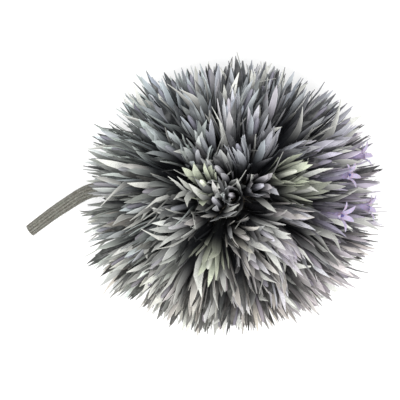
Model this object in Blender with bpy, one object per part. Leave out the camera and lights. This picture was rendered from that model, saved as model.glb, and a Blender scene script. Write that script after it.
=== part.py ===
"""Globe thistle flower head, dried and cut with a short stem, lying on its side.

The head is a ball of some two hundred capitula, each a spindle of closed bracts round one floret, which
stand on a small round receptacle. Its axis lies along X: the apex faces +X, and the stem leaves towards -X.
The first florets have opened just above the apex. Neighbouring capitula share a foot and make one solid.

Metres, +Z up. The part lies on z = 0, with the middle of its bounding box above the origin.
"""

import math
import random
from collections import namedtuple

import bmesh
import bpy
import numpy as np
from mathutils import Vector

MM = 0.001

# The ball, measured from the centre of the receptacle
HEAD_RADIUS = 20.5 * MM  # to the tip of a typical capitulum
AXIAL_STRETCH = 1.10  # the ball is a little longer along its axis
CROSS_STRETCH = 0.98  # than across it
CENTRE_HEIGHT = 19.2 * MM  # above the ground, with the lowest tips pressed level
REST_ANGLE = math.radians(19.0)  # capitula this close to straight down all reach the ground
ROOT_CLEARANCE = math.radians(23.0)  # feet of the capitula keep this far from the stem's axis
TIP_CLEARANCE = math.radians(16.0)  # and their tips close in to this
SPIRAL_START = math.radians(20.0)  # turns the whole pattern of capitula round the head's axis
CAPITULA = 212
GROUPS = 52
SEED = 11

# Capitula: places along one are shares of the distance from the head's centre to its tip
LENGTH_SPREAD = 0.025
LONG_SHARE = 0.05  # this share of them stands out of the ball
LONG_EXTRA = 0.045
LEAN = 0.04  # most that a tip lies off its even place, each way, as a share of its length
WIDEST_AT = 0.66
WIDEST_RADIUS = 1.05 * MM
SHOULDER_AT = 0.84
SHOULDER_RADIUS = 0.80 * MM
SIDES = 6

# Feet of the capitula, which all but touch the receptacle
RECEPTACLE_RADIUS = 4.8 * MM
FOOT_BOTTOM = 5.3 * MM
FOOT_TOP = 5.9 * MM
FOOT_RADIUS = 0.42 * MM
FOOT_SPREAD = 0.80  # feet of one group draw together by this factor

# Open florets, on the upper side of the apex
OPEN_FLORETS = 4
OPENING_MIDDLE = Vector((0.82, 0.06, 0.57))  # the direction round which they stand
MOUTH_AT = 0.86  # the bracts of an open capitulum end in a mouth, just below the floret
MOUTH_RADIUS = 0.70 * MM
FLORET_GAP = 0.3 * MM
TUBE_RADIUS = 0.36 * MM
TUBE_LENGTH = 1.6 * MM
LOBE_RISE = 0.8 * MM
LOBE_REACH = 1.6 * MM
LOBE_CLEFT = 0.5 * MM
STYLE_RISE = 1.7 * MM
LOBES = 5

# Stem: its middle line from the receptacle to the cut, relative to the head's centre
STEM_ROUTE = [
    Vector((-5.3, 0.0, 0.0)) * MM,
    Vector((-10.0, 0.1, 0.0)) * MM,
    Vector((-15.5, 1.1, -0.3)) * MM,
    Vector((-20.5, 1.2, -0.9)) * MM,
    Vector((-25.0, -1.2, -1.8)) * MM,
    Vector((-30.2, -4.9, -3.2)) * MM,
]
STEM_TOP_RADIUS = 1.20 * MM
STEM_CUT_RADIUS = 0.90 * MM
STEM_SIDES = 12
STEM_STEPS = 4  # rings between two points of the route

# Common involucre: a collar of small scales bent back along the stem
SCALES = 12
COLLAR_AT = 6.1 * MM
COLLAR_DEPTH = 0.7 * MM
COLLAR_INNER = 1.75 * MM
COLLAR_OUTER = 2.15 * MM
SCALE_LENGTH = 2.9 * MM
SCALE_FLARE = 1.75 * MM
SCALE_THICKNESS = 0.25 * MM
NOTCH_SHARE = 0.35  # length of the notch between two scales, as a share of a scale's

# root: direction of its foot on the receptacle; way: direction of its tip, both from the head's centre
Capitulum = namedtuple("Capitulum", "root way length is_open")

SLATE_BLUE = (0.20, 0.25, 0.31)
GREY_GREEN = (0.30, 0.33, 0.29)
TAUPE = (0.34, 0.31, 0.28)
VIOLET = (0.33, 0.27, 0.50)
FELT_GREY = (0.40, 0.38, 0.31)
STRAW = (0.52, 0.47, 0.36)


def remove_old_objects():
    for obj in list(bpy.data.objects):
        bpy.data.objects.remove(obj, do_unlink=True)


def mix(first, second, share):
    return tuple(a + (b - a) * share for a, b in zip(first, second))


def dry_finish(name, colour, roughness):
    """A matt plant surface."""
    material = bpy.data.materials.new(name)
    material.use_nodes = True
    shader = material.node_tree.nodes["Principled BSDF"]
    shader.inputs["Base Color"].default_value = (*colour, 1.0)
    shader.inputs["Roughness"].default_value = roughness
    shader.inputs["Metallic"].default_value = 0.0
    material.diffuse_color = (*colour, 1.0)
    return material


def new_object(name, bm, colour, roughness=0.8):
    """One solid from a finished bmesh, with its faces turned outwards."""
    bmesh.ops.recalc_face_normals(bm, faces=bm.faces)
    mesh = bpy.data.meshes.new(name)
    bm.to_mesh(mesh)
    bm.free()
    mesh.materials.append(dry_finish(name, colour, roughness))
    obj = bpy.data.objects.new(name, mesh)
    bpy.context.scene.collection.objects.link(obj)
    return obj


def across(direction):
    """Two unit vectors square to a direction and to each other."""
    helper = Vector((0.0, 0.0, 1.0)) if abs(direction.z) < 0.9 else Vector((0.0, 1.0, 0.0))
    side = direction.cross(helper).normalized()
    return side, direction.cross(side).normalized()


def add_ring(bm, centre, direction, radii, turn=0.0):
    """Vertices round a centre, one for each radius, in the plane square to a direction."""
    side, up = across(direction)
    ring = []
    for k, radius in enumerate(radii):
        angle = turn + math.tau * k / len(radii)
        ring.append(bm.verts.new(centre + radius * (math.cos(angle) * side + math.sin(angle) * up)))
    return ring


def join_rings(bm, lower, upper):
    for k in range(len(lower)):
        after = (k + 1) % len(lower)
        bm.faces.new((lower[k], lower[after], upper[after], upper[k]))


def join_to_point(bm, ring, point):
    for k in range(len(ring)):
        bm.faces.new((ring[k], ring[(k + 1) % len(ring)], point))


def spiral_directions(count, lowest):
    """Directions spread evenly round the X axis, as seeds on a flower, from +X down to x = lowest."""
    golden_angle = math.pi * (3.0 - math.sqrt(5.0))
    directions = []
    for k in range(count):
        x = 1.0 - (1.0 - lowest) * (k + 0.5) / count
        across_axis = math.sqrt(1.0 - x * x)
        angle = SPIRAL_START + golden_angle * k
        directions.append(Vector((x, across_axis * math.cos(angle), across_axis * math.sin(angle))))
    return directions


def tip_distance(direction, rng):
    """How far a capitulum's tip is from the centre: an uneven ball, pressed level where it lies."""
    ball = 1.0 / math.sqrt((direction.x / AXIAL_STRETCH) ** 2 + (1.0 - direction.x**2) / CROSS_STRETCH**2)
    length = HEAD_RADIUS * ball * (1.0 + rng.uniform(-LENGTH_SPREAD, LENGTH_SPREAD))
    if rng.random() < LONG_SHARE:
        length *= 1.0 + LONG_EXTRA
    if direction.z >= 0.0:
        return length
    to_ground = CENTRE_HEIGHT / -direction.z
    if -direction.z > math.cos(REST_ANGLE):
        return to_ground
    return min(length, to_ground)


def make_capitula():
    """All capitula from the apex on: evenly rooted, each leaning a little its own way."""
    rng = random.Random(SEED)
    roots = spiral_directions(CAPITULA, -math.cos(ROOT_CLEARANCE))
    tips = spiral_directions(CAPITULA, -math.cos(TIP_CLEARANCE))
    capitula = []
    for root, tip in zip(roots, tips):
        way = (tip + LEAN * Vector([rng.uniform(-1.0, 1.0) for _ in range(3)])).normalized()
        capitula.append(Capitulum(root, way, tip_distance(way, rng), False))
    return open_nearest(capitula)


def open_nearest(capitula):
    """The same capitula, with those nearest to the opening's middle open."""
    by_distance = sorted(capitula, key=lambda capitulum: -capitulum.way.dot(OPENING_MIDDLE))
    opened = {id(capitulum) for capitulum in by_distance[:OPEN_FLORETS]}
    return [capitulum._replace(is_open=id(capitulum) in opened) for capitulum in capitula]


def group_neighbours(capitula):
    """Splits the capitula into groups of close neighbours, round evenly spread middles."""
    roots = np.array([capitulum.root for capitulum in capitula])
    middles = np.array(spiral_directions(GROUPS, -math.cos(ROOT_CLEARANCE)))
    for _ in range(20):
        nearest = np.argmax(roots @ middles.T, axis=1)
        for g in range(GROUPS):
            middle = roots[nearest == g].sum(axis=0)
            middles[g] = middle / np.linalg.norm(middle)
    return [[capitula[k] for k in np.flatnonzero(nearest == g)] for g in range(GROUPS)]


def add_foot(bm, group, middle):
    """The shared foot: the hull of small six-sided pads, one under each capitulum. Returns the pads' rims."""
    rims = []
    for capitulum in group:
        place = middle.lerp(capitulum.root, FOOT_SPREAD).normalized()
        rims.append(add_ring(bm, place * FOOT_TOP, place, [FOOT_RADIUS] * SIDES))
        add_ring(bm, place * FOOT_BOTTOM, place, [FOOT_RADIUS] * SIDES)
    hull = bmesh.ops.convex_hull(bm, input=bm.verts)
    loose = {v for v in hull["geom_interior"] + hull["geom_unused"] if isinstance(v, bmesh.types.BMVert)}
    bmesh.ops.delete(bm, geom=list(loose), context="VERTS")
    tops = [face for face in bm.faces if any(set(face.verts) <= set(rim) for rim in rims)]
    bmesh.ops.delete(bm, geom=tops, context="FACES_ONLY")
    return rims


def add_spindle(bm, rim, capitulum):
    """One capitulum: it widens from its pad, narrows past its shoulder and ends in a point or a mouth."""
    way = capitulum.way
    widest = add_ring(bm, way * capitulum.length * WIDEST_AT, way, [WIDEST_RADIUS] * SIDES)
    join_rings(bm, rim, widest)
    if capitulum.is_open:
        mouth = add_ring(bm, way * capitulum.length * MOUTH_AT, way, [MOUTH_RADIUS] * SIDES)
        join_rings(bm, widest, mouth)
        bm.faces.new(mouth)
    else:
        shoulder = add_ring(bm, way * capitulum.length * SHOULDER_AT, way, [SHOULDER_RADIUS] * SIDES)
        join_rings(bm, widest, shoulder)
        join_to_point(bm, shoulder, bm.verts.new(way * capitulum.length))


def bract_colour(middle):
    """Slate blue on the upper side, grey green round the stem, taupe below."""
    colour = mix(SLATE_BLUE, GREY_GREEN, max(0.0, -middle.x))
    return mix(colour, TAUPE, 0.5 - 0.5 * middle.z)


def build_capitula(name, group):
    bm = bmesh.new()
    middle = sum((capitulum.root for capitulum in group), Vector()).normalized()
    rims = add_foot(bm, group, middle)
    for rim, capitulum in zip(rims, group):
        add_spindle(bm, rim, capitulum)
    return new_object(name, bm, bract_colour(middle))


def build_floret(name, capitulum):
    """An open floret: a short tube, five pointed lobes and the style in the middle."""
    bm = bmesh.new()
    way = capitulum.way
    base = capitulum.length * MOUTH_AT + FLORET_GAP
    mouth = base + TUBE_LENGTH
    bottom = add_ring(bm, way * base, way, [TUBE_RADIUS] * 2 * LOBES)
    neck = add_ring(bm, way * mouth, way, [TUBE_RADIUS] * 2 * LOBES)
    star = add_ring(bm, way * (mouth + LOBE_RISE), way, [LOBE_REACH, LOBE_CLEFT] * LOBES)
    bm.faces.new(bottom)
    join_rings(bm, bottom, neck)
    join_rings(bm, neck, star)
    join_to_point(bm, star, bm.verts.new(way * (mouth + STYLE_RISE)))
    return new_object(name, bm, VIOLET, roughness=0.6)


def build_receptacle():
    bm = bmesh.new()
    bmesh.ops.create_icosphere(bm, subdivisions=3, radius=RECEPTACLE_RADIUS)
    return new_object("receptacle", bm, STRAW)


def smooth_route(points, steps):
    """Points along the Catmull-Rom curve through a route's points, with its first and last as they are."""
    padded = [2 * points[0] - points[1], *points, 2 * points[-1] - points[-2]]
    route = []
    for a, b, c, d in zip(padded, padded[1:], padded[2:], padded[3:]):
        for k in range(steps):
            t = k / steps
            route.append(
                0.5 * (2 * b + (c - a) * t + (2 * a - 5 * b + 4 * c - d) * t**2 + (3 * b - a - 3 * c + d) * t**3)
            )
    return [*route, points[-1]]


def build_stem():
    bm = bmesh.new()
    route = smooth_route(STEM_ROUTE, STEM_STEPS)
    rings = []
    for k, centre in enumerate(route):
        before = route[max(k - 1, 0)]
        after = route[min(k + 1, len(route) - 1)]
        radius = STEM_TOP_RADIUS + (STEM_CUT_RADIUS - STEM_TOP_RADIUS) * k / (len(route) - 1)
        rings.append(add_ring(bm, centre, (after - before).normalized(), [radius] * STEM_SIDES))
    for lower, upper in zip(rings, rings[1:]):
        join_rings(bm, lower, upper)
    bm.faces.new(rings[0])
    bm.faces.new(rings[-1])
    return new_object("stem", bm, FELT_GREY)


def build_involucre():
    """A collar round the stem's top, with a row of pointed scales that lie back along it."""
    bm = bmesh.new()
    stem_way = Vector((-1.0, 0.0, 0.0))
    count = 2 * SCALES
    lengths = [SCALE_LENGTH, SCALE_LENGTH * NOTCH_SHARE] * SCALES
    inner_top = add_ring(bm, stem_way * COLLAR_AT, stem_way, [COLLAR_INNER] * count)
    outer_top = add_ring(bm, stem_way * COLLAR_AT, stem_way, [COLLAR_OUTER] * count)
    inner_low = add_ring(bm, stem_way * (COLLAR_AT + COLLAR_DEPTH), stem_way, [COLLAR_INNER] * count)
    edge_in = add_ring(bm, stem_way * COLLAR_AT, stem_way, [SCALE_FLARE] * count)
    edge_out = add_ring(bm, stem_way * COLLAR_AT, stem_way, [SCALE_FLARE + SCALE_THICKNESS] * count)
    for inside, outside, length in zip(edge_in, edge_out, lengths):
        inside.co += stem_way * (COLLAR_DEPTH + length)
        outside.co += stem_way * (COLLAR_DEPTH + length)
    join_rings(bm, inner_top, outer_top)
    join_rings(bm, outer_top, edge_out)
    join_rings(bm, edge_out, edge_in)
    join_rings(bm, edge_in, inner_low)
    join_rings(bm, inner_low, inner_top)
    return new_object("involucre", bm, STRAW)


def rest_on_ground(objects):
    """Moves the part up from its centre, so that it lies on z = 0 with its box centred on the origin."""
    corners = np.array([v.co for obj in objects for v in obj.data.vertices])
    middle = (corners.min(axis=0) + corners.max(axis=0)) / 2.0
    for obj in objects:
        obj.location = (-middle[0], -middle[1], -corners[:, 2].min())


def main():
    remove_old_objects()
    capitula = make_capitula()
    objects = [build_receptacle(), build_stem(), build_involucre()]
    for k, group in enumerate(group_neighbours(capitula), start=1):
        objects.append(build_capitula(f"capitula_{k:02d}", group))
    opened = [capitulum for capitulum in capitula if capitulum.is_open]
    for k, capitulum in enumerate(opened, start=1):
        objects.append(build_floret(f"open_floret_{k}", capitulum))
    rest_on_ground(objects)


main()
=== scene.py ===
"""The looks of the globe thistle flower head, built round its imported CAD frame.

Every capitulum of the CAD model is replaced by rows of separate bracts round a closed floret, with
bristles at its foot. The open florets, stem, involucre and receptacle get finer meshes of their own as
well. Lengths are in metres, in the CAD model's own frame: +X is the head's apex, and the stem leaves
towards -X.

All but the receptacle is made of strips: closed bars whose section is swept along an axis or a route.
Each point of a strip has a colour and three marks, which the materials read: how far along the strip it
is, how far across or around it, and a third that means something else in each piece.
"""

import itertools
import math
from typing import NamedTuple

import bmesh
import bpy
import numpy as np
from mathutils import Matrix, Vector

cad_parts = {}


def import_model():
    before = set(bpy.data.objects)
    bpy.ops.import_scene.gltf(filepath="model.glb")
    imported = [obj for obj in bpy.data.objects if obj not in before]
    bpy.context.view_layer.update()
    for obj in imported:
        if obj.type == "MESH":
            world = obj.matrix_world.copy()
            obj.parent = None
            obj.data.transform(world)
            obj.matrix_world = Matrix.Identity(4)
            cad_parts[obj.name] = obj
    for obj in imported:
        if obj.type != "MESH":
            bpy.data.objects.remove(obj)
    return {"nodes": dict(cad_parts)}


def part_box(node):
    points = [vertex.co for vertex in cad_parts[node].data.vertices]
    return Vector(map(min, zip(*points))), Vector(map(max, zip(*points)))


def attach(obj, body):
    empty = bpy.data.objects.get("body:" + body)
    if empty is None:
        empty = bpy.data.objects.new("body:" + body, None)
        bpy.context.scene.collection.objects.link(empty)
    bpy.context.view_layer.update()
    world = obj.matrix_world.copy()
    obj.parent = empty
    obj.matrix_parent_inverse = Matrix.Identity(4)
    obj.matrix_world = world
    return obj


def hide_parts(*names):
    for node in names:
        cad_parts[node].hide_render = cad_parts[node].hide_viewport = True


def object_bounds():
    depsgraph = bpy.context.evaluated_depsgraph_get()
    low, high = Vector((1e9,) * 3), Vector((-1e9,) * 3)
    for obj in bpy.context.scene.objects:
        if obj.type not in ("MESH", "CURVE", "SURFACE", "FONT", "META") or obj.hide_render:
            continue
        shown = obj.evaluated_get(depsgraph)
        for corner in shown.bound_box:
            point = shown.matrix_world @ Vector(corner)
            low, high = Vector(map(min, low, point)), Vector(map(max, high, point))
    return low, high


MM = 0.001

# Random numbers are seeded with this, and with a capitulum's number or one of the four below
SEED = 5
STEM_SEED = 1000
INVOLUCRE_SEED = 2000
FLORET_SEED = 3000
CLUMP_SEED = 4000


# ---------------------------------------------------------------- sizes: capitula

# Reading the capitula from the CAD nodes
OUTER_SHELL = 15.8 * MM  # only shoulders, tips and mouths lie farther from the head's centre
SAME_CAPITULUM = math.radians(3.5)  # a tip hides its own shoulder within this angle
SAME_REACH = 0.01 * MM  # corners of one mouth differ by less than this in their distance from the centre
SAME_END = 1.5 * MM  # and they lie this close together
MOUTH_AT = 0.86  # share of an open capitulum's length at which its bracts end in the CAD model

# The bud that the bracts follow. Heights are shares of the way from the foot to the tip, radii are in mm
FOOT = 4.9 * MM  # from the head's centre
ENVELOPE_HEIGHTS = (0.0, 0.15, 0.35, 0.55, 0.75, 0.90, 1.0)
ENVELOPE_RADII = (0.30, 0.48, 0.78, 0.98, 0.98, 0.78, 0.42)


class BractRow(NamedTuple):
    """One row of a capitulum's bracts. Its start and end are shares of the way from foot to tip."""

    count: int
    start: float
    end: float
    half_width: float  # in mm
    stand_off: float  # of the tips from the bud, in mm
    fullness: float  # share of the bud's radius


BRACT_ROWS = (
    BractRow(6, 0.14, 0.58, 0.28, 0.60, 1.10),
    BractRow(6, 0.20, 0.85, 0.44, 1.15, 1.04),
    BractRow(6, 0.24, 0.98, 0.52, 1.30, 0.96),
    BractRow(5, 0.28, 1.03, 0.50, 1.00, 0.76),
)
CILIA_ROWS = (1, 2)  # the rows whose edges have hairs

# A bract's half width at places along it, as a share of its row's
BRACT_PLACES = (0.0, 0.15, 0.35, 0.52, 0.68, 0.82, 0.93, 1.0)
BRACT_WIDTHS = (0.45, 0.55, 0.80, 1.0, 1.0, 0.87, 0.59, 0.08)
BRACT_RINGS = 9
BRACT_THICKNESS = 0.05 * MM
# Across it: place from edge to edge, and how far the surface stands out in thicknesses
BRACT_SECTION = ((-1.0, 0.0), (-0.5, 0.9), (0.0, 1.8), (0.5, 0.9), (1.0, 0.0), (0.0, -0.6))
BRACT_EDGES = (0, 4)  # which of those are the edges
BRACT_KEEL = 2  # and which is the keel
BRACT_PALENESS = (1.0, 0.5, 0.0, 0.5, 1.0, 1.0)  # the edges and the inner face are paler than the keel
NEAREST_TO_AXIS = 0.05 * MM  # a bract comes no nearer
TIGHTEST_CURL = 0.35 * MM  # radius round which a bract may curl

# How bracts of a row differ
STRAY_SHARE = 0.11  # share of bracts that stand off, pale and dry
END_SPREAD = (-0.06, 0.04)  # shares of the row's end
STAND_OFF_OPEN = 1.2  # share of the row's stand-off for an openness of 1
STAND_OFF_SPREAD = (-0.5, 0.6)  # added to that
STAND_OFF_STRAY = 1.3  # and added for a stray
PLACE_SPREAD = 0.14  # radians round the axis
TWIST_SPREAD = 0.35  # radians at the tip
TWIST_STRAY = 1.5  # how much more a stray twists
WIDTH_SPREAD = (0.85, 1.15)

# How capitula differ
OPENNESS_SPREAD = (0.2, 1.25)
OPEN_UPWARDS = 0.3  # how much wider the cups on top have dried open
OPENNESS_GREEN = 1.3
TIP_BEND = 2.0 * MM  # how far a capitulum's own tip may lie off its axis
CLUMP_BEND = (0.8 * MM, 1.7 * MM)  # how far neighbouring tips lean together, at the sides and on top
CLUMP_ZONE = (0.3, 1.0)  # the heights, on a ball of radius 1, of those two
CLUMP_WAVES = 8.0  # radians of the clumps' waves for each radian round the ball
MOUTH_STEADINESS = 0.2  # an open capitulum bends only this share, to stay round its floret
BEND_POWER = 2.2  # the bend grows with this power of the way from foot to tip
GROUND_SOFTNESS = 0.25 * MM  # tips bend level within about this height of the ground

CILIA_RINGS = (4, 5, 6, 7)  # the rings of a bract that have hairs
CILIUM_LENGTH = 0.30 * MM
CILIUM_RADIUS = 0.022 * MM
NEEDLE_TAPER = 0.25  # a needle's radius at its tip, as a share of that at its root

# The closed floret: shares of the way from the foot to the tip, and its radii there in mm
CORE_PLACES = (0.05, 0.30, 0.55, 0.72, 0.84, 0.91, 0.95, 0.965)
CORE_RADII = (0.20, 0.42, 0.55, 0.46, 0.40, 0.34, 0.20, 0.03)
RIB_HOLLOW = 0.80  # radius between two ribs, as a share of that on a rib

BRISTLES = 12
BRISTLE_REACH = (0.22, 0.42)  # share of the way from the foot to the tip
BRISTLE_RADIUS = 0.035 * MM


# ---------------------------------------------------------------- sizes: the other pieces

# The stem's route as in the CAD model, from the head's centre to the cut, in mm
STEM_ROUTE = (
    (-5.3, 0.0, 0.0),
    (-10.0, 0.1, 0.0),
    (-15.5, 1.1, -0.3),
    (-20.5, 1.2, -0.9),
    (-25.0, -1.2, -1.8),
    (-30.2, -4.9, -3.2),
)
STEM_TOP_RADIUS = 1.20 * MM
STEM_CUT_RADIUS = 0.90 * MM
STEM_STEPS = 20  # for each stretch of the route
STEM_SIDES = 96
STEM_RIBS = 12
RIB_TWIST = 0.6  # radians from top to cut
RIB_SHARPNESS = 0.7  # power of a sine: below 1 it makes the grooves narrow
RIB_HEIGHT = 0.20  # share of the radius, from a groove to a crest
GROOVE_DEPTH = 0.14  # share of the radius by which the grooves are sunk
STEM_SWELL = 0.05  # share of the radius that the stem is uneven by
CUT_SLANT = 0.10 * MM
CUT_RAGGEDNESS = 0.04 * MM
# The rings of the cut from its edge inwards: share of the radius, and depth in mm
CUT_RINGS = ((0.90, 0.03), (0.62, -0.02), (0.55, 0.10), (0.25, 0.16), (0.02, 0.12))
CUT_MARK_STEP = 0.1  # how much the along mark grows from one of them to the next

STEM_HAIRS = 1800
STEM_HAIR_LENGTH = (0.25, 0.65)  # in mm
STEM_HAIR_RADIUS = 0.012 * MM
STEM_HAIR_SINK = 0.02 * MM  # how deep its root is in the skin
LOWEST_HAIR = 0.02 * MM


class ScaleRow(NamedTuple):
    """One row of the involucre's scales, in mm."""

    count: int
    start: float  # along the stem, from the head's centre
    end: float
    low: float  # from the stem's axis, at the scales' base
    high: float  # and at their tips


SCALE_ROWS = (
    ScaleRow(18, 6.2, 9.6, 1.45, 1.72),
    ScaleRow(17, 6.1, 8.6, 1.70, 1.88),
    ScaleRow(16, 6.0, 7.6, 1.90, 2.02),
)
SCALE_HALF_WIDTH = 0.24 * MM
COLLAR_SIDES = 36
COLLAR_KNOBS = 9
KNOB_HEIGHT = 0.03  # share of the collar's radius

RECEPTACLE_RADIUS = 4.8 * MM
PIT_RADIUS = 0.38 * MM
PIT_RELIEF = 0.18 * MM

LOBES = 5
LOBE_LENGTH = 3.6 * MM
LOBE_THICKNESS = 0.04 * MM
LOBE_RINGS = 13
FLORET_TUBE = 1.6 * MM
ANTHER_LENGTH = 1.5 * MM
ANTHER_SINK = 0.2 * MM  # how deep the anther tube starts in the funnel
STYLE_RADIUS = 0.055 * MM
STYLE_FORK = 0.28 * MM  # how far its two arms part

# A strip's cell in the map: its height as a multiple of its width, and the free share at each side
CELL_SLIMNESS = 3.0
CELL_MARGIN = 0.05


# ---------------------------------------------------------------- colours, all linear

# The bracts' four colours, and how much there is of each: at the middle, and more for +X and for +Y
SLATE = (0.131, 0.148, 0.180)
SAGE = (0.160, 0.181, 0.166)
LILAC = (0.206, 0.180, 0.214)
TAUPE = (0.213, 0.186, 0.165)
TINTS = np.array([SLATE, SAGE, LILAC, TAUPE])
TINT_SHARES = np.array([0.65, 0.60, 0.45, 0.50])
# partly painted light: more of the pale taupe towards -Y and of the dark slate towards +Y paint light
# from the -Y side and shade on the +Y side; the hues are the bracts' own
TINT_AND_PAINTED_LIGHT_SLOPES = np.array([[0.0, 0.6], [-0.6, 0.0], [0.6, 0.0], [0.0, -0.6]])
LEAST_TINT = 0.04
CUP_TINTS = 4  # how many mixes of them one cup has

BRACT_TONES = (0.11, 0.22, 0.42, 0.68, 1.0, 1.45, 2.2)  # a cup's bracts run from nearly black to pale
PALEST = 0.41  # a bract's largest channel, so that its still paler edges and tips stay below white
DRY = (0.37, 0.37, 0.355)  # strays
VIOLET = np.array([0.232, 0.195, 0.305])  # buds that are about to open
OPENING_MIDDLE = np.array([0.82, 0.06, 0.57])  # the direction of the open florets, as in the CAD model
OPENING_ZONE = (0.90, 0.99)  # buds turn violet as the cosine to that direction rises between these
OPENING_VIOLET = 0.7  # share of violet in such a bud, at most

# A few capitula are yellow-green. These are their tips' places from the head's centre, from above, in mm
GREEN_PLACES = ((-3.4, 1.3), (-2.7, -8.8), (12.5, 1.6), (7.5, 5.5))
GREEN_SHARE = 0.0025  # of the others
YELLOW_GREEN = np.array([0.222, 0.235, 0.188])
GREEN_DEPTH = (0.7, 1.0)  # share of yellow-green in those
GREEN_HINT = (0.0, 0.12)  # and in all other capitula
GREEN_BRIGHTNESS = 0.5  # how much brighter a wholly yellow-green one is

CAPITULUM_TONES = (0.6, 1.4)
TOP_PAINTED_LIGHT = 4.4  # painted light: how much paler the top of the ball is painted, where the light comes from above
TOP_PAINTED_LIGHT_POWER = 5.5  # of the height on a ball of radius 1
SIDE_PAINTED_LIGHT = 0.5  # painted light: how much paler the sides and the underside are painted, which the light from above leaves darker
SIDE_ZONE = (0.10, 0.55)  # the heights over which that fades out

BRISTLE_COLOUR = np.array([0.20, 0.19, 0.16])
PETAL_COLOUR = np.array([0.34, 0.285, 0.435])
ANTHER_COLOUR = np.array([0.10, 0.09, 0.26])
STYLE_COLOUR = np.array([0.48, 0.43, 0.58])
STEM_COLOUR = np.array([0.130, 0.128, 0.112])
STEM_HAIR_COLOUR = np.array([0.50, 0.50, 0.46])
SCALE_COLOUR = np.array([0.34, 0.29, 0.20])

# In the bracts' material: two colours blended in, the second a painted shade that turns everything low
# in a capitulum nearly black, and two factors of the bract's own colour
MOTTLE = (0.245, 0.246, 0.245)
DEEP_PAINTED_SHADE = (0.006, 0.007, 0.010)
EDGE_GAIN = (1.70, 1.72, 1.70)
TIP_GAIN = (1.20, 1.20, 1.18)

# In the stem's: a factor again, a painted shade that darkens the stem near the head, and five colours
UPPER_STEM_PAINTED_SHADE = (0.55, 0.58, 0.58)
STEM_FIBRES = (0.075, 0.062, 0.045)
STEM_BLOTCHES = (0.12, 0.13, 0.10)
STEM_FELT = (0.42, 0.42, 0.36)
WOOD = (0.42, 0.33, 0.19)
PITH = (0.62, 0.57, 0.45)

# In the involucre's, the receptacle's and the petals'
SCALE_BASE = (0.13, 0.09, 0.05)
SCALE_MOTTLE = (0.20, 0.17, 0.11)
SCALE_EDGE = (0.55, 0.50, 0.38)
TISSUE_DARK = (0.040, 0.034, 0.026)
TISSUE_BROWN = (0.085, 0.070, 0.050)
TISSUE_RIDGE = (0.16, 0.14, 0.10)
TISSUE_FLECKS = (0.14, 0.12, 0.09)
PETAL_VEINS = (0.20, 0.14, 0.34)
PETAL_EDGES = (0.46, 0.41, 0.54)
PETAL_TIPS = (0.42, 0.37, 0.50)


# ---------------------------------------------------------------- stage

FLOOR_REACH = 3.0
FLOOR_COLOUR = (0.90, 0.90, 0.90)
WORLD_STRENGTH = 0.75
KEY_PLACE = (-0.05, -0.10, 0.75)
KEY_SIZE = 0.50
KEY_POWER = 6.1
CAMERA_LENS = 100.0  # in mm, as the sensor's width
CAMERA_SENSOR = 36.0
VIEW_WIDTH = 0.060


# ---------------------------------------------------------------- reading the frame

def unit(vectors):
    """Vectors scaled to a length of 1."""
    return vectors / np.maximum(np.linalg.norm(vectors, axis=-1, keepdims=True), 1e-12)


def node_corners(obj):
    """The corners of a CAD node, each once."""
    corners = np.array([v.co for v in obj.data.vertices])
    return np.unique(corners.round(6), axis=0)


def capitulum_ends(obj, centre):
    """The tips and mouths of a CAD node, as (way from the centre, whether it is a mouth)."""
    ways = node_corners(obj) - centre
    ways = ways[np.linalg.norm(ways, axis=1) > OUTER_SHELL]
    reach = np.linalg.norm(ways, axis=1)
    units = ways / reach[:, None]
    close = units @ units.T > math.cos(SAME_CAPITULUM)
    farther = reach[None, :] > reach[:, None] + SAME_REACH
    ends = ways[~(close & farther).any(axis=1)]
    found = []
    while len(ends):
        same = np.linalg.norm(ends - ends[0], axis=1) < SAME_END
        found.append((ends[same].mean(axis=0), same.sum() > 1))
        ends = ends[~same]
    return found


def numbered_ends(nodes, centre):
    """Each capitula node's ends as (number, way, whether it is a mouth), numbered over the head."""
    numbers = itertools.count()
    ends = {}
    for name in sorted(name for name in nodes if name.startswith("capitula_")):
        ends[name] = [(next(numbers), *end) for end in capitulum_ends(nodes[name], centre)]
    return ends


# ---------------------------------------------------------------- meshes of many strips

def strip_batch(points, along, across, third, colour):
    """Strips as (strip, ring, side, xyz) points, with what their material reads."""
    shape = points.shape[:3]
    marks = np.stack([np.broadcast_to(mark, shape) for mark in (along, across, third)], axis=-1)
    return {"points": points, "marks": marks, "colour": np.broadcast_to(colour, (*shape, 3))}


def strip_grid(strips, rings, sides):
    """The strip, ring and side of each quad of closed strips."""
    return np.meshgrid(np.arange(strips), np.arange(rings - 1), np.arange(sides), indexing="ij")


def strip_faces(strips, rings, sides):
    """Faces of closed strips: quads round their sides, and a cap at each end."""
    s, r, k = strip_grid(strips, rings, sides)
    first = s * rings * sides + r * sides
    after = (k + 1) % sides
    quads = np.stack([first + k, first + after, first + sides + after, first + sides + k], axis=-1)
    start = np.arange(strips)[:, None] * rings * sides
    bottoms = start + np.arange(sides)[::-1]
    tops = start + (rings - 1) * sides + np.arange(sides)
    return quads.reshape(-1, 4), np.concatenate([bottoms, tops])


def strip_maps(strips, rings, sides):
    """Map places of the same faces, in one unit cell for each strip: (cell, u, v) of each face corner.

    The sides take the middle of the cell's height, and the two caps a flat oval each below and above.
    """
    s, r, k = strip_grid(strips, rings, sides)
    u = np.stack([k, k + 1, k + 1, k], axis=-1) / sides
    v = 0.08 + 0.84 * np.stack([r, r, r + 1, r + 1], axis=-1) / (rings - 1)
    cells = np.broadcast_to(s[..., None], u.shape)
    turn = math.tau * np.arange(sides) / sides
    cap_u = np.tile(0.5 + 0.3 * np.cos(turn), (2 * strips, 1))
    cap_v = np.tile(0.03 * np.sin(turn), (2 * strips, 1))
    cap_v[:strips] += 0.035
    cap_v[strips:] += 0.965
    cap_cells = np.broadcast_to(np.tile(np.arange(strips), 2)[:, None], cap_u.shape)
    return [a.reshape(-1) for a in (cells, u, v)], [a.reshape(-1) for a in (cap_cells, cap_u, cap_v)]


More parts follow.
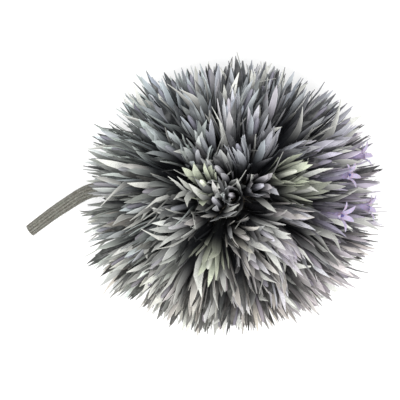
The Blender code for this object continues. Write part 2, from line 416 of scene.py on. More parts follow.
def mesh_of(name, batches, material, sharp=50.0):
    """One object from batches of strips. Edges sharper than this many degrees stay sharp."""
    face_groups = []
    map_groups = []
    start = 0
    cell_start = 0
    for batch in batches:
        size = batch["points"].shape[:3]
        for faces, (cells, u, v) in zip(strip_faces(*size), strip_maps(*size)):
            face_groups.append(faces + start)
            map_groups.append((cells + cell_start, u, v))
        start += math.prod(size)
        cell_start += size[0]
    mesh = bpy.data.meshes.new(name)
    fill_faces(mesh, flat(batches, "points"), face_groups)
    lay_map(mesh, map_groups, cell_start)
    for key in ("marks", "colour"):
        attribute = mesh.attributes.new(key, "FLOAT_VECTOR", "POINT")
        attribute.data.foreach_set("vector", flat(batches, key).astype(np.float32).reshape(-1))
    mesh.shade_smooth()
    mesh.set_sharp_from_angle(angle=math.radians(sharp))
    return add_object(name, mesh, material)


def add_object(name, mesh, material):
    """An object in the scene with this mesh and material."""
    mesh.materials.append(material)
    obj = bpy.data.objects.new(name, mesh)
    bpy.context.scene.collection.objects.link(obj)
    return obj


def flat(batches, key):
    """One value of all points of the batches, in their order."""
    return np.concatenate([batch[key].reshape(-1, 3) for batch in batches])


def fill_faces(mesh, points, face_groups):
    """Gives an empty mesh its points and its faces. The faces of a group have equally many corners."""
    mesh.vertices.add(len(points))
    mesh.vertices.foreach_set("co", points.astype(np.float32).reshape(-1))
    corners = np.concatenate([faces.reshape(-1) for faces in face_groups])
    sizes = np.concatenate([np.full(len(faces), faces.shape[1]) for faces in face_groups])
    starts = np.concatenate([[0], np.cumsum(sizes)[:-1]])
    mesh.loops.add(len(corners))
    mesh.loops.foreach_set("vertex_index", corners.astype(np.int32))
    mesh.polygons.add(len(sizes))
    mesh.polygons.foreach_set("loop_start", starts.astype(np.int32))
    mesh.update(calc_edges=True)


def lay_map(mesh, map_groups, cell_count):
    """Lays the strips' cells side by side in one square map, named OFBake."""
    cells, u, v = (np.concatenate([group[k] for group in map_groups]) for k in range(3))
    columns = math.ceil(math.sqrt(cell_count * CELL_SLIMNESS))
    rows = math.ceil(cell_count / columns)
    across = (cells % columns + CELL_MARGIN + (1.0 - 2.0 * CELL_MARGIN) * u) / columns
    place = np.stack([across, (cells // columns + v) / rows], axis=-1)
    layer = mesh.uv_layers.new(name="OFBake")
    layer.data.foreach_set("uv", place.astype(np.float32).reshape(-1))


# ---------------------------------------------------------------- strips round an axis

def round_section(sides):
    """The corners of a round section of radius 1."""
    turns = [math.tau * k / sides for k in range(sides)]
    return tuple((math.cos(turn), math.sin(turn)) for turn in turns)


def ribbed_section(ribs):
    """A round section with this many soft ribs."""
    sizes = (1.0, RIB_HOLLOW) * ribs
    return tuple((x * size, y * size) for (x, y), size in zip(round_section(2 * ribs), sizes))


def frame_round(direction):
    """A direction and two unit vectors square to it and to each other, the direction last."""
    direction = np.asarray(direction, float)
    helper = np.array([0.0, 0.0, 1.0]) if abs(direction[2]) < 0.9 else np.array([0.0, 1.0, 0.0])
    side = np.cross(direction, helper)
    side /= np.linalg.norm(side)
    return side, np.cross(direction, side), direction


def swept(axis, heights, radii, angles, half_widths, section, thickness=math.inf, curl=0.0):
    """Strips along an axis. heights, radii, angles and half_widths are (strip, ring) arrays.

    A strip is never thicker than it is wide. A curl of 1 bends it round the axis, like a barrel's stave.
    """
    side, up, out = axis
    radial = np.cos(angles)[..., None] * side + np.sin(angles)[..., None] * up
    around = -np.sin(angles)[..., None] * side + np.cos(angles)[..., None] * up
    centres = radii[..., None] * radial + heights[..., None] * out
    rise = np.gradient(heights, axis=1)
    spread = np.gradient(radii, axis=1)
    face = unit(rise[..., None] * radial - spread[..., None] * out)
    places = np.array(section)
    wide = half_widths[..., None] * places[:, 0]
    thick = np.minimum(thickness, half_widths)[..., None] * places[:, 1]
    bend = curl * wide**2 / (2.0 * np.maximum(radii, TIGHTEST_CURL)[..., None])
    return (
        centres[:, :, None, :]
        + wide[..., None] * around[:, :, None, :]
        + (thick - bend)[..., None] * face[:, :, None, :]
    )


def bar(axis, heights, radii, section):
    """One strip straight along the axis. heights and radii are (1, ring) arrays."""
    nothing = np.zeros_like(heights)
    return swept(axis, heights, nothing, nothing, radii, section)


def needles(roots, tips, way, up, radius):
    """Three-sided needles between roots and tips, as (..., ring, side, xyz) points."""
    beside = unit(np.cross(way, up))
    above = np.cross(beside, way)
    rings = []
    for centre, size in ((roots, radius), (tips, NEEDLE_TAPER * radius)):
        corners = [centre + size * (x * beside + y * above) for x, y in round_section(3)]
        rings.append(np.stack(corners, axis=-2))
    return np.stack(rings, axis=-3)


# ---------------------------------------------------------------- capitula

def bud_radii(shares):
    """The radius of a bud at these shares of the way from its foot to its tip."""
    return np.interp(shares, ENVELOPE_HEIGHTS, ENVELOPE_RADII) * MM


def bract_outline(t):
    """A bract's half width along it, as a share of its row's."""
    return np.interp(t, BRACT_PLACES, BRACT_WIDTHS)


def bract_angles(rng, stray, t):
    """Where the bracts of a row stand round the axis, and how they twist towards their tips."""
    count = len(stray)
    places = math.tau * np.arange(count) / count + rng.uniform(0.0, math.tau)
    places = places + rng.normal(0.0, PLACE_SPREAD, count)
    twists = rng.normal(0.0, TWIST_SPREAD, count) * (1.0 + TWIST_STRAY * stray)
    return places[:, None] + twists[:, None] * t**3


def bract_colours(rng, stray, tints):
    """A colour for each bract of a row: one of the cup's tints, in any of the tones, or dry."""
    count = len(stray)
    colours = tints[rng.choice(len(tints), count)] * rng.choice(BRACT_TONES, count)[:, None]
    colours = colours * rng.uniform(0.85, 1.15, (count, 1))
    colours = colours * np.minimum(1.0, PALEST / colours.max(axis=1, keepdims=True))
    colours[stray] = DRY
    return colours


def bract_row(rng, axis, length, row, tints, openness):
    """Bracts that follow the bud and stand off at their tips. Their third mark is the height."""
    t = np.linspace(0.0, 1.0, BRACT_RINGS)[None, :]
    stray = rng.random(row.count) < STRAY_SHARE
    ends = row.end * (1.0 + rng.uniform(*END_SPREAD, row.count))
    shares = row.start + (ends[:, None] - row.start) * t
    spread = rng.uniform(*STAND_OFF_SPREAD, row.count)
    tips = row.stand_off * MM * (STAND_OFF_OPEN * openness + spread + STAND_OFF_STRAY * stray)
    radii = np.maximum(bud_radii(shares) * row.fullness + tips[:, None] * t**2.5, NEAREST_TO_AXIS)
    angles = bract_angles(rng, stray, t)
    widths = bract_outline(t) * row.half_width * MM * rng.uniform(*WIDTH_SPREAD, row.count)[:, None]
    heights = FOOT + shares * (length - FOOT)
    points = swept(axis, heights, radii, angles, widths, BRACT_SECTION, BRACT_THICKNESS, curl=1.0)
    colours = bract_colours(rng, stray, tints)[:, None, None, :]
    return strip_batch(points, t[..., None], BRACT_PALENESS, shares[..., None], colours)


def cilia(rng, bracts):
    """Short stiff hairs along the edges of the bracts' upper halves."""
    points = bracts["points"]
    rings = np.array(CILIA_RINGS)
    spikes = []
    for edge in BRACT_EDGES:
        root = points[:, rings, edge]
        ahead = points[:, rings + 1, edge] - root
        forward = unit(ahead)
        outward = unit(root - points[:, rings, BRACT_KEEL])
        way = unit(forward + outward * rng.uniform(0.35, 0.9, root.shape[:2])[..., None])
        reach = CILIUM_LENGTH * rng.uniform(0.6, 1.25, root.shape[:2])[..., None]
        root = root + 0.35 * rng.random(root.shape[:2])[..., None] * ahead
        up = unit(np.cross(forward, outward))
        spikes.append(needles(root, root + reach * way, way, up, CILIUM_RADIUS))
    spikes = np.concatenate(spikes).reshape(-1, 2, 3, 3)
    colour = np.concatenate([bracts["colour"][:, rings, 0]] * 2).reshape(-1, 1, 1, 3)
    marks = np.concatenate([bracts["marks"][:, rings, 0]] * 2).reshape(-1, 1, 1, 3)
    return strip_batch(spikes, marks[..., 0], 1.0, marks[..., 2], colour)


def closed_floret(axis, length, colour):
    """The closed floret: a slim bud of folded lobes in the cup of bracts."""
    shares = np.array(CORE_PLACES)[None, :]
    heights = FOOT + shares * (length - FOOT)
    points = bar(axis, heights, np.array(CORE_RADII)[None, :] * MM, ribbed_section(LOBES))
    return strip_batch(points, shares[..., None], 0.0, shares[..., None], colour)


def bristles(rng, axis, length):
    """The tuft of pale bristles at the foot of a capitulum."""
    t = np.linspace(0.0, 1.0, 4)[None, :]
    reach = rng.uniform(*BRISTLE_REACH, BRISTLES)[:, None]
    heights = FOOT + reach * t * (length - FOOT)
    radii = bud_radii(reach * t) * 1.15 + rng.uniform(0.0, 0.35, BRISTLES)[:, None] * MM * t**2
    angles = np.broadcast_to(rng.uniform(0.0, math.tau, BRISTLES)[:, None], heights.shape)
    widths = BRISTLE_RADIUS * (1.05 - t) * np.ones((BRISTLES, 1))
    points = swept(axis, heights, radii, angles, widths, round_section(3))
    # with their low height marks the bracts' material paints them nearly black, as painted shade
    return strip_batch(points, t[..., None], 0.0, (reach * t)[..., None], BRISTLE_COLOUR)


def green_tips(tips):
    """The numbers of the tips nearest to the green places on the upper side."""
    seen = np.where(tips[:, 2:] > 0.0, tips[:, :2], np.inf)
    places = np.array(GREEN_PLACES) * MM
    return {int(np.linalg.norm(seen - place, axis=1).argmin()) for place in places}


def capitulum_tints(rng, direction, green):
    """The colours that one capitulum's bracts take, by its place on the ball, with painted light that
    makes the ball's top, sides and underside paler.
    """
    height = direction[2]
    # partly painted light and shade, by the slopes towards -Y and +Y
    shares = (TINT_SHARES + TINT_AND_PAINTED_LIGHT_SLOPES @ direction[:2]).clip(LEAST_TINT, None)
    # painted light: paler on the top of the ball, and on its sides and underside
    painted_light = 1.0 + TOP_PAINTED_LIGHT * max(height, 0.0) ** TOP_PAINTED_LIGHT_POWER
    painted_light += SIDE_PAINTED_LIGHT * np.interp(height, SIDE_ZONE, (1.0, 0.0))
    tone = (rng.uniform(*CAPITULUM_TONES) + GREEN_BRIGHTNESS * green) * painted_light
    opening = OPENING_VIOLET * np.interp(direction @ OPENING_MIDDLE, OPENING_ZONE, (0.0, 1.0))
    opening *= rng.uniform(0.3, 1.0)
    tints = []
    for _ in range(CUP_TINTS):
        mix = shares * rng.uniform(0.1, 1.9, len(TINTS))
        grey = mix @ TINTS / mix.sum()
        grey = grey + opening * (VIOLET - grey)
        tints.append(tone * (grey + green * (YELLOW_GREEN - grey)))
    return np.array(tints)


def clump_lean(direction):
    """A smooth uneven field round the ball, square to the direction, that gathers tips into clumps."""
    rng = np.random.default_rng([SEED, CLUMP_SEED])
    waves = CLUMP_WAVES * unit(rng.normal(size=(3, 3)))
    lean = np.sin(waves @ direction + rng.uniform(0.0, math.tau, 3))
    return lean - (lean @ direction) * direction


def tip_bend(rng, axis, is_mouth):
    """How far, and which way, a capitulum's tip lies off its axis."""
    side, up, out = axis
    turn = rng.uniform(0.0, math.tau)
    bend = TIP_BEND * rng.random() * (math.cos(turn) * side + math.sin(turn) * up)
    bend = bend + np.interp(out[2], CLUMP_ZONE, CLUMP_BEND) * clump_lean(out)
    return MOUTH_STEADINESS * bend if is_mouth else bend


def levelled(points):
    """The points, with what would reach below the ground bent level, without folding it."""
    heights = GROUND_SOFTNESS * np.logaddexp(0.0, points[..., 2:] / GROUND_SOFTNESS)
    return np.concatenate([points[..., :2], heights], axis=-1)


def capitulum_batches(number, way, is_mouth, greens, centre):
    """The bracts, hairs, closed floret and bristles of one capitulum."""
    rng = np.random.default_rng([SEED, number])
    length = np.linalg.norm(way) / (MOUTH_AT if is_mouth else 1.0)
    axis = frame_round(unit(way))
    is_green = number in greens or rng.random() < GREEN_SHARE
    green = rng.uniform(*(GREEN_DEPTH if is_green else GREEN_HINT))
    tints = capitulum_tints(rng, axis[2], green)
    openness = OPENNESS_GREEN
    if not is_green:
        openness = rng.uniform(*OPENNESS_SPREAD) + OPEN_UPWARDS * max(axis[2][2], 0.0) ** 4
    batches = [bract_row(rng, axis, length, row, tints, openness) for row in BRACT_ROWS]
    batches += [cilia(rng, batches[row]) for row in CILIA_ROWS]
    batches.append(closed_floret(axis, length, 0.5 * tints[0] + 0.3 * VIOLET))
    batches.append(bristles(rng, axis, length))
    bend = tip_bend(rng, axis, is_mouth)
    for batch in batches:
        share = batch["marks"][..., 2:]
        batch["points"] = levelled(batch["points"] + centre + share**BEND_POWER * bend)
    return batches


def build_capitula(name, ends, greens, centre, material):
    """All capitula of one CAD node, from its ends as numbered_ends gives them."""
    groups = [capitulum_batches(*end, greens, centre) for end in ends]
    return mesh_of(name, [batch for group in groups for batch in group], material)


# ---------------------------------------------------------------- stem

def smooth_route(points, steps):
    """Points along the Catmull-Rom curve through a route's points, as the CAD stem has them."""
    padded = np.array([2 * points[0] - points[1], *points, 2 * points[-1] - points[-2]])
    t = (np.arange(steps) / steps)[:, None]
    route = []
    for a, b, c, d in zip(padded, padded[1:], padded[2:], padded[3:]):
        cubic = 3 * b - a - 3 * c + d
        route.append(0.5 * (2 * b + (c - a) * t + (2 * a - 5 * b + 4 * c - d) * t**2 + cubic * t**3))
    return np.concatenate([*route, points[-1:]])


def stem_frames(route):
    """Unit vectors at each point of a route: along it, level and square to it, and square to both."""
    ahead = unit(np.gradient(route, axis=0))
    side = unit(np.cross(ahead, [0.0, 0.0, 1.0]))
    return ahead, side, np.cross(ahead, side)


def stem_radii(share, turn, crest):
    """The stem's radius by its share of the way to the cut, and by the turn round it."""
    plain = STEM_TOP_RADIUS + (STEM_CUT_RADIUS - STEM_TOP_RADIUS) * share
    ribs = RIB_HEIGHT * crest - GROOVE_DEPTH
    swell = STEM_SWELL * np.sin(9.0 * share + 1.0) * np.cos(turn + 5.0 * share)
    return plain * (1.0 + ribs + swell)


def cut_face(rng, last_ring, middle, ahead, turn):
    """The rings of the cut end: a slanting edge, the woody ring and the sunken pith."""
    edge = last_ring + CUT_SLANT * ahead * np.sin(turn)[0, :, None]
    rings = [edge]
    for shrink, sink in CUT_RINGS:
        ragged = sink * MM + CUT_RAGGEDNESS * rng.random(STEM_SIDES)[:, None]
        rings.append(middle + shrink * (edge - middle) - ragged * ahead)
    return rings


def build_stem(centre):
    """The ribbed stem with its cut end, and the felt of fine hairs on it.

    Its marks are the share of the way to the cut, going on past 1 over the cut face, the share of the
    turn round it, and 1 for skin or 0 for a hair.
    """
    rng = np.random.default_rng([SEED, STEM_SEED])
    route = centre + smooth_route(np.array(STEM_ROUTE) * MM, STEM_STEPS)
    ahead, side, up = stem_frames(route)
    share = np.linspace(0.0, 1.0, len(route))[:, None]
    turn = math.tau * np.arange(STEM_SIDES)[None, :] / STEM_SIDES
    crest = np.abs(np.sin(0.5 * STEM_RIBS * (turn + RIB_TWIST * share))) ** RIB_SHARPNESS
    radii = stem_radii(share, turn, crest)
    radial = np.cos(turn)[..., None] * side[:, None, :] + np.sin(turn)[..., None] * up[:, None, :]
    skin = route[:, None, :] + radii[..., None] * radial
    cut = cut_face(rng, skin[-1], route[-1], ahead[-1], turn)
    skin = np.stack([*skin[:-1], *cut])
    along = np.concatenate([share[:-1, 0], 1.0 + CUT_MARK_STEP * np.arange(len(cut))])
    crest = np.concatenate([crest[:-1], np.broadcast_to(crest[-1], (len(cut), STEM_SIDES))])
    colour = (0.35 + crest)[None, ..., None] * STEM_COLOUR
    body = strip_batch(skin[None], along[None, :, None], turn / math.tau, 1.0, colour)
    hairs = stem_hairs(rng, route, ahead, radial, radii)
    return mesh_of("stem_skin", [body, hairs], stem_material(), sharp=70.0)


def stem_hairs(rng, route, ahead, radial, radii):
    """Fine pale hairs that lie along the stem and rise a little from it."""
    ring = rng.integers(0, len(route) - 2, STEM_HAIRS)
    spoke = rng.integers(0, STEM_SIDES, STEM_HAIRS)
    out = radial[ring, spoke]
    way = ahead[ring] * rng.uniform(0.5, 1.0, (STEM_HAIRS, 1)) + 0.45 * out
    way = unit(way + rng.normal(0.0, 0.35, out.shape))
    root = route[ring] + (radii[ring, spoke][:, None] - STEM_HAIR_SINK) * out
    tip = root + rng.uniform(*STEM_HAIR_LENGTH, (STEM_HAIRS, 1)) * MM * way
    points = needles(root, tip, way, out, STEM_HAIR_RADIUS)
    points[..., 2] = np.maximum(points[..., 2], LOWEST_HAIR)
    return strip_batch(points, 0.5, 0.5, 0.0, STEM_HAIR_COLOUR)


# ---------------------------------------------------------------- involucre and receptacle

def build_involucre(centre):
    """The collar under the head: rows of narrow scales bent back along the stem."""
    rng = np.random.default_rng([SEED, INVOLUCRE_SEED])
    axis = frame_round((-1.0, 0.0, 0.0))
    rows = [scale_row(rng, axis, number, row) for number, row in enumerate(SCALE_ROWS)]
    batches = [*rows, involucre_collar(axis)]
    for batch in batches:
        batch["points"] = batch["points"] + centre
    return mesh_of("involucre_scales", batches, scale_material())


def scale_row(rng, axis, number, row):
    """One row of scales, a little turned against the row before."""
    t = np.linspace(0.0, 1.0, BRACT_RINGS)[None, :]
    reach = rng.uniform(0.8, 1.0, (row.count, 1)) * (row.end - row.start)
    heights = (row.start + reach * t) * MM
    flare = (row.high - row.low) * np.sin(0.5 * math.pi * t)
    radii = (row.low + flare + 0.12 * rng.random((row.count, 1)) * t**2) * MM
    angles = math.tau * (np.arange(row.count)[:, None] + 0.37 * number) / row.count
    angles = angles + rng.normal(0.0, 0.25, (row.count, 1)) * t**2
    widths = bract_outline(t) * SCALE_HALF_WIDTH * rng.uniform(0.8, 1.2, (row.count, 1))
    points = swept(axis, heights, radii, angles, widths, BRACT_SECTION, BRACT_THICKNESS, curl=1.0)
    colour = SCALE_COLOUR * rng.uniform(0.6, 1.35, (row.count, 1, 1, 1))
    return strip_batch(points, t[..., None], BRACT_PALENESS, 1.0, colour)


def involucre_collar(axis):
    """The knobbly ring on which the scales stand, from its inner edge over the outside back to it."""
    t = np.linspace(0.0, 1.0, 9)[None, :]
    heights = (6.45 - 0.40 * np.cos(math.tau * t * 0.94)) * MM
    radii = (1.78 + 0.30 * np.sin(math.pi * t)) * MM
    points = bar(axis, heights, radii, round_section(COLLAR_SIDES))
    knobs = 1.0 + KNOB_HEIGHT * np.cos(COLLAR_KNOBS * math.tau * np.arange(COLLAR_SIDES) / COLLAR_SIDES)
    points[..., 1:] *= knobs[:, None]
    return strip_batch(points, 0.2, 0.3, 1.0, SCALE_COLOUR * 0.7)


def build_receptacle(centre, ways):
    """The ball that the capitula stand on, with a rimmed pit under each."""
    bm = bmesh.new()
    bmesh.ops.create_icosphere(bm, subdivisions=6, radius=RECEPTACLE_RADIUS)
    mesh = bpy.data.meshes.new("receptacle_ball")
    bm.to_mesh(mesh)
    bm.free()
    out = unit(np.array([v.co for v in mesh.vertices]))
    closeness = (out @ unit(ways).T).max(axis=1).clip(-1.0, 1.0)
    off = np.arccos(closeness) * RECEPTACLE_RADIUS / PIT_RADIUS
    relief = PIT_RELIEF * (np.exp(-6.0 * (off - 1.2) ** 2) - 1.4 * np.exp(-2.5 * off**2))
    points = centre + out * (RECEPTACLE_RADIUS - 0.2 * MM + relief)[:, None]
    mesh.vertices.foreach_set("co", points.reshape(-1))
    mesh.shade_smooth()
    return add_object("receptacle_ball", mesh, receptacle_material())


# ---------------------------------------------------------------- open florets

def build_floret(name, obj, centre, material):
    """An open floret. Its third mark is how much of a lobe's pale edges and tips a strip has."""
    corners = node_corners(obj) - centre
    way = unit(corners.mean(axis=0))
    reach = corners @ way
    rng = np.random.default_rng([SEED, FLORET_SEED, int(name[-1])])
    axis = frame_round(way)
    mouth = reach.min() + FLORET_TUBE
    batches = [
        floret_funnel(axis, mouth),
        floret_lobes(rng, axis, mouth),
        floret_anthers(axis, mouth),
        floret_style(axis, mouth, reach.max()),
    ]
    for batch in batches:
        batch["points"] = batch["points"] + centre
    return mesh_of(name, batches, material)


def floret_funnel(axis, mouth):
    """The tube of joined petals, which widens to its mouth."""
    t = np.linspace(0.0, 1.0, BRACT_RINGS)[None, :]
    radii = np.interp(t, (0.0, 0.6, 1.0), (0.22, 0.26, 0.44)) * MM
    points = bar(axis, mouth + FLORET_TUBE * (t - 1.0), radii, round_section(15))
    return strip_batch(points, t[..., None], 0.4, 0.2, PETAL_COLOUR * 0.9)


def floret_lobes(rng, axis, mouth):
    """Five narrow lobes that bend outwards from the funnel's mouth."""
    t = np.linspace(0.0, 1.0, LOBE_RINGS)[None, :]
    size = rng.uniform(0.88, 1.08, (LOBES, 1))
    heights = mouth + size * LOBE_LENGTH * (0.75 * t - 0.27 * t**3)
    radii = (0.36 + size * (0.35 * t + 1.35 * t**2.2)) * MM
    angles = math.tau * np.arange(LOBES)[:, None] / LOBES + rng.normal(0.0, 0.12, (LOBES, 1)) * (0.3 + t)
    outline = np.interp(t, (0.0, 0.35, 0.7, 0.9, 1.0), (0.24, 0.36, 0.34, 0.18, 0.02))
    widths = outline * MM * np.ones((LOBES, 1))
    points = swept(axis, heights, radii, angles, widths, BRACT_SECTION, LOBE_THICKNESS, curl=1.0)
    return strip_batch(points, t[..., None], BRACT_PALENESS, 1.0, PETAL_COLOUR)


def floret_anthers(axis, mouth):
    """The dark tube of joined anthers in the middle."""
    t = np.linspace(0.0, 1.0, BRACT_RINGS)[None, :]
    radii = np.interp(t, (0.0, 0.8, 1.0), (0.20, 0.18, 0.03)) * MM
    points = bar(axis, mouth - ANTHER_SINK + ANTHER_LENGTH * t, radii, round_section(10))
    return strip_batch(points, t[..., None], 0.2, 0.0, ANTHER_COLOUR)


def floret_style(axis, mouth, top):
    """The style above the anthers, as two strips that part near the top into its arms."""
    t = np.linspace(0.0, 1.0, BRACT_RINGS)[None, :] * np.ones((2, 1))
    heights = mouth + (top - mouth) * (0.3 + 0.7 * t)
    radii = 0.02 * MM + STYLE_FORK * np.clip(t - 0.7, 0.0, None) / 0.3
    angles = np.array([[0.4], [0.4 + math.pi]]) * np.ones_like(t)
    widths = STYLE_RADIUS * (1.0 - 0.5 * t**4)
    points = swept(axis, heights, radii, angles, widths, round_section(6))
    return strip_batch(points, t[..., None], 0.0, 0.5, STYLE_COLOUR)


# ---------------------------------------------------------------- material nodes

def new_material(name):
    """A material with its node tree and its shader."""
    material = bpy.data.materials.new(name)
    material.use_nodes = True
    return material, material.node_tree, material.node_tree.nodes["Principled BSDF"]


def feed(tree, node, inputs):
    """Gives a node its inputs, by index or name. A socket is linked, a value is set on the input."""
    for key, value in inputs.items():
        if isinstance(value, bpy.types.NodeSocket):
            tree.links.new(value, node.inputs[key])
        else:
            node.inputs[key].default_value = value


def add_node(tree, kind, inputs=None, **settings):
    """A new node with these attributes and inputs."""
    node = tree.nodes.new(kind)
    for key, value in settings.items():
        setattr(node, key, value)
    feed(tree, node, inputs or {})
    return node


def read_marks(tree):
    """The colour and the marks of a piece's points, and then the three marks one by one."""
    colour = add_node(tree, "ShaderNodeAttribute", attribute_name="colour").outputs["Vector"]
    marks = add_node(tree, "ShaderNodeAttribute", attribute_name="marks").outputs["Vector"]
    return colour, marks, *add_node(tree, "ShaderNodeSeparateXYZ", {0: marks}).outputs


def noise(tree, scale, detail, place=None):
    """Noise from 0 to 1, placed by the object's own coordinates if by nothing else."""
    if place is None:
        place = add_node(tree, "ShaderNodeTexCoord").outputs["Object"]
    inputs = {"Vector": place, "Scale": scale, "Detail": detail}
    return add_node(tree, "ShaderNodeTexNoise", inputs).outputs[0]


def marked_noise(tree, marks, stretch, scale):
    """Noise that follows a piece's own marks, stretched along them."""
    place = add_node(tree, "ShaderNodeMapping", {"Vector": marks, "Scale": stretch}).outputs[0]
    return noise(tree, scale, 4.0, place)


def blend(tree, factor, first, second, mode="MIX"):
    """The second colour over the first. A colour is a socket or three numbers."""
    first, second = (c if isinstance(c, bpy.types.NodeSocket) else (*c, 1.0) for c in (first, second))
    inputs = {0: factor, 6: first, 7: second}
    return add_node(tree, "ShaderNodeMix", inputs, data_type="RGBA", blend_type=mode).outputs[2]


def ramp(tree, value, low, high, result_low=0.0, result_high=1.0):
    """A smooth step of a value between two limits."""
    inputs = {0: value, 1: low, 2: high, 3: result_low, 4: result_high}
    return add_node(tree, "ShaderNodeMapRange", inputs, interpolation_type="SMOOTHSTEP").outputs[0]


def times(tree, first, second):
    """The product of two values."""
    return add_node(tree, "ShaderNodeMath", {0: first, 1: second}, operation="MULTIPLY").outputs[0]


def bump(tree, height, strength, distance):
    """A shader normal that shows this height."""
    inputs = {"Height": height, "Strength": strength, "Distance": distance}
    return add_node(tree, "ShaderNodeBump", inputs).outputs[0]


# ---------------------------------------------------------------- materials

def bract_material():
    """Papery tissue in each bract's own colour, with painted shade that makes it nearly black deep
    inside, and paler at edges and tips.
    """
    material, tree, shader = new_material("bracts")
    colour, _, along, across, height = read_marks(tree)
    mottle = noise(tree, 900.0, 3.0)
    grain = noise(tree, 5200.0, 2.0)
    body = blend(tree, ramp(tree, mottle, 0.4, 0.7, 0.0, 0.25), colour, MOTTLE)
    # painted shade: bracts, bristles and floret fade to nearly black low in the capitulum
    deep = blend(tree, ramp(tree, height, 0.50, 0.93, 0.97, 0.0), body, DEEP_PAINTED_SHADE)
    edge = times(tree, ramp(tree, across, 0.62, 1.0), ramp(tree, along, 0.40, 0.7, 0.0, 0.85))
    worn_edge = times(tree, edge, ramp(tree, grain, 0.25, 0.65, 0.35, 1.0))
    edged = blend(tree, worn_edge, deep, EDGE_GAIN, "MULTIPLY")
    tipped = blend(tree, ramp(tree, along, 0.65, 0.92), edged, TIP_GAIN, "MULTIPLY")
    feed(tree, shader, {
        "Base Color": tipped,
        "Roughness": ramp(tree, grain, 0.3, 0.7, 0.55, 0.8),
        "Specular IOR Level": 0.35,
        "Normal": bump(tree, grain, 0.4, 0.05 * MM),
    })
    return material


def stem_material():
    """Ribs with brown fibres, blotches and grey felt, darker near the head by painted shade, and at the
    cut a woody ring round pale pith.
    """
    material, tree, shader = new_material("stem")
    colour, marks, along, _, is_skin = read_marks(tree)
    fibres = marked_noise(tree, marks, (6.0, 60.0, 0.0), 2.0)
    fibre_share = times(tree, ramp(tree, fibres, 0.45, 0.65), is_skin)
    blotch_share = ramp(tree, noise(tree, 420.0, 4.0), 0.5, 0.7, 0.0, 0.55)
    felt_share = times(tree, ramp(tree, noise(tree, 4000.0, 3.0), 0.5, 0.68, 0.0, 0.3), is_skin)
    # painted shade: the stem darker near the head
    shaded = blend(tree, ramp(tree, along, 0.35, 0.80, 1.0, 0.0), colour, UPPER_STEM_PAINTED_SHADE, "MULTIPLY")
    fibrous = blend(tree, fibre_share, shaded, STEM_FIBRES)
    blotched = blend(tree, blotch_share, fibrous, STEM_BLOTCHES)
    felted = blend(tree, felt_share, blotched, STEM_FELT)
    wood = blend(tree, ramp(tree, along, 1.02, 1.06), felted, WOOD)
    pith = blend(tree, ramp(tree, along, 1.22, 1.30), wood, PITH)
    normal = bump(tree, fibres, 0.5, 0.10 * MM)
    feed(tree, shader, {"Base Color": pith, "Roughness": 0.85, "Normal": normal})
    return material


def scale_material():
    """Dry straw scales, browner at the base and paler at the edges."""
    material, tree, shader = new_material("involucre")
    colour, _, along, across, _ = read_marks(tree)
    grain = noise(tree, 3000.0, 4.0)
    based = blend(tree, ramp(tree, along, 0.0, 0.5, 0.7, 0.0), colour, SCALE_BASE)
    mottled = blend(tree, ramp(tree, grain, 0.45, 0.7, 0.0, 0.5), based, SCALE_MOTTLE)
    edged = blend(tree, ramp(tree, across, 0.6, 1.0, 0.0, 0.6), mottled, SCALE_EDGE)
    normal = bump(tree, grain, 0.4, 0.05 * MM)
    feed(tree, shader, {"Base Color": edged, "Roughness": 0.75, "Normal": normal})
    return material


def receptacle_material():
    """Dry brown tissue in patches and flecks, paler on the rims of its pits."""
    material, tree, shader = new_material("receptacle")
    grain = noise(tree, 2400.0, 5.0)
    ridge = add_node(tree, "ShaderNodeNewGeometry").outputs["Pointiness"]
    base = blend(tree, ramp(tree, noise(tree, 500.0, 3.0), 0.35, 0.7), TISSUE_DARK, TISSUE_BROWN)
    ridged = blend(tree, ramp(tree, ridge, 0.50, 0.56, 0.0, 0.6), base, TISSUE_RIDGE)
    flecked = blend(tree, ramp(tree, grain, 0.55, 0.75, 0.0, 0.5), ridged, TISSUE_FLECKS)
    normal = bump(tree, grain, 0.5, 0.08 * MM)
    feed(tree, shader, {"Base Color": flecked, "Roughness": 0.9, "Normal": normal})
    return material


def petal_material():
    """Thin violet tissue, with darker veins along the lobes and pale tips and edges."""
    material, tree, shader = new_material("petals")
    colour, marks, along, across, is_lobe = read_marks(tree)
    veins = marked_noise(tree, marks, (1.5, 14.0, 0.0), 3.0)
    grain = noise(tree, 2600.0, 3.0)
    edge_share = times(tree, ramp(tree, across, 0.55, 1.0, 0.0, 0.6), is_lobe)
    tip_share = times(tree, ramp(tree, along, 0.7, 1.0, 0.0, 0.5), is_lobe)
    veined = blend(tree, ramp(tree, veins, 0.5, 0.65, 0.0, 0.55), colour, PETAL_VEINS)
    edged = blend(tree, edge_share, veined, PETAL_EDGES)
    tipped = blend(tree, tip_share, edged, PETAL_TIPS)
    feed(tree, shader, {
        "Base Color": tipped,
        "Roughness": ramp(tree, grain, 0.3, 0.7, 0.5, 0.7),
        "Subsurface Weight": 0.15,
        "Subsurface Scale": 0.3 * MM,
        "Normal": bump(tree, veins, 0.3, 0.04 * MM),
    })
    return material


def floor_material():
    """Plain pale matt, for the floor only."""
    material, tree, shader = new_material("floor")
    feed(tree, shader, {"Base Color": (*FLOOR_COLOUR, 1.0), "Roughness": 0.9})
    return material


# ---------------------------------------------------------------- floor, light and camera

def add_floor():
    """A large plain floor at the ground level."""
    corners = [(FLOOR_REACH * x, FLOOR_REACH * y, 0) for x, y in ((-1, -1), (1, -1), (1, 1), (-1, 1))]
    mesh = bpy.data.meshes.new("floor")
    mesh.from_pydata(corners, [], [(0, 1, 2, 3)])
    floor = add_object("floor", mesh, floor_material())


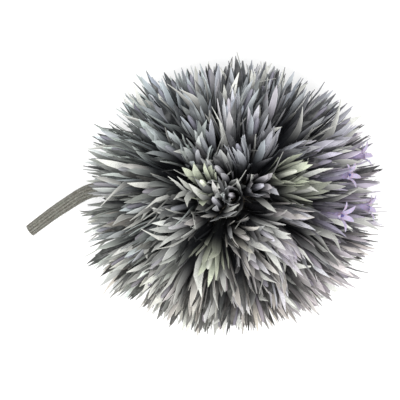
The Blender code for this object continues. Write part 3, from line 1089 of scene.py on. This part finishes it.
def add_lights(target):
    """Even white light from all round, and one soft key light high above, aimed at the target."""
    world = bpy.data.worlds.new("studio")
    world.use_nodes = True
    background = world.node_tree.nodes["Background"]
    feed(world.node_tree, background, {"Color": (1.0, 1.0, 1.0, 1.0), "Strength": WORLD_STRENGTH})
    bpy.context.scene.world = world
    light = bpy.data.lights.new("key", "AREA")
    light.shape = "DISK"
    light.size = KEY_SIZE
    light.energy = KEY_POWER
    key = bpy.data.objects.new("key", light)
    key.location = KEY_PLACE
    key.rotation_euler = (Vector(target) - Vector(KEY_PLACE)).to_track_quat("-Z", "Y").to_euler()
    bpy.context.scene.collection.objects.link(key)


def add_camera(middle):
    """A camera that looks straight down on the middle, with a view of VIEW_WIDTH there."""
    camera = bpy.data.cameras.new("camera")
    camera.lens = CAMERA_LENS
    camera.sensor_width = CAMERA_SENSOR
    distance = VIEW_WIDTH * CAMERA_LENS / CAMERA_SENSOR
    obj = bpy.data.objects.new("camera", camera)
    obj.location = (middle[0], middle[1], middle[2] + distance)
    bpy.context.scene.collection.objects.link(obj)
    bpy.context.scene.camera = obj


# ---------------------------------------------------------------- the whole

def add_piece(piece, slot, *nodes):
    """Puts a piece on the part's one body, in the place of one or more CAD nodes."""
    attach(piece, "root")
    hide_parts(*nodes)


def add_flower_head(nodes, centre):
    """All pieces of the head and its stem."""
    bracts = bract_material()
    ends = numbered_ends(nodes, centre)
    ways = np.array([way for group in ends.values() for _, way, _ in group])
    greens = green_tips(ways)
    for node, group in ends.items():
        piece = build_capitula(node.replace("capitula", "bracts"), group, greens, centre, bracts)
        add_piece(piece, "bracts", node)
    add_piece(build_stem(centre), "stem", "stem")
    add_piece(build_involucre(centre), "involucre", "involucre")
    add_piece(build_receptacle(centre, ways), "receptacle", "receptacle")
    petals = petal_material()
    for node in sorted(name for name in nodes if name.startswith("open_floret_")):
        piece = build_floret(node.replace("open_", ""), nodes[node], centre, petals)
        add_piece(piece, "petals", node)


def main():
    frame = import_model()
    cad_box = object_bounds()
    low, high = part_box("receptacle")
    centre = np.array((low + high) / 2.0)
    add_flower_head(frame["nodes"], centre)

    add_floor()
    add_lights(centre)
    middle = (cad_box[0] + cad_box[1]) / 2.0
    add_camera((middle.x, middle.y, centre[2]))
    bpy.context.scene.view_settings.view_transform = "Standard"


main()
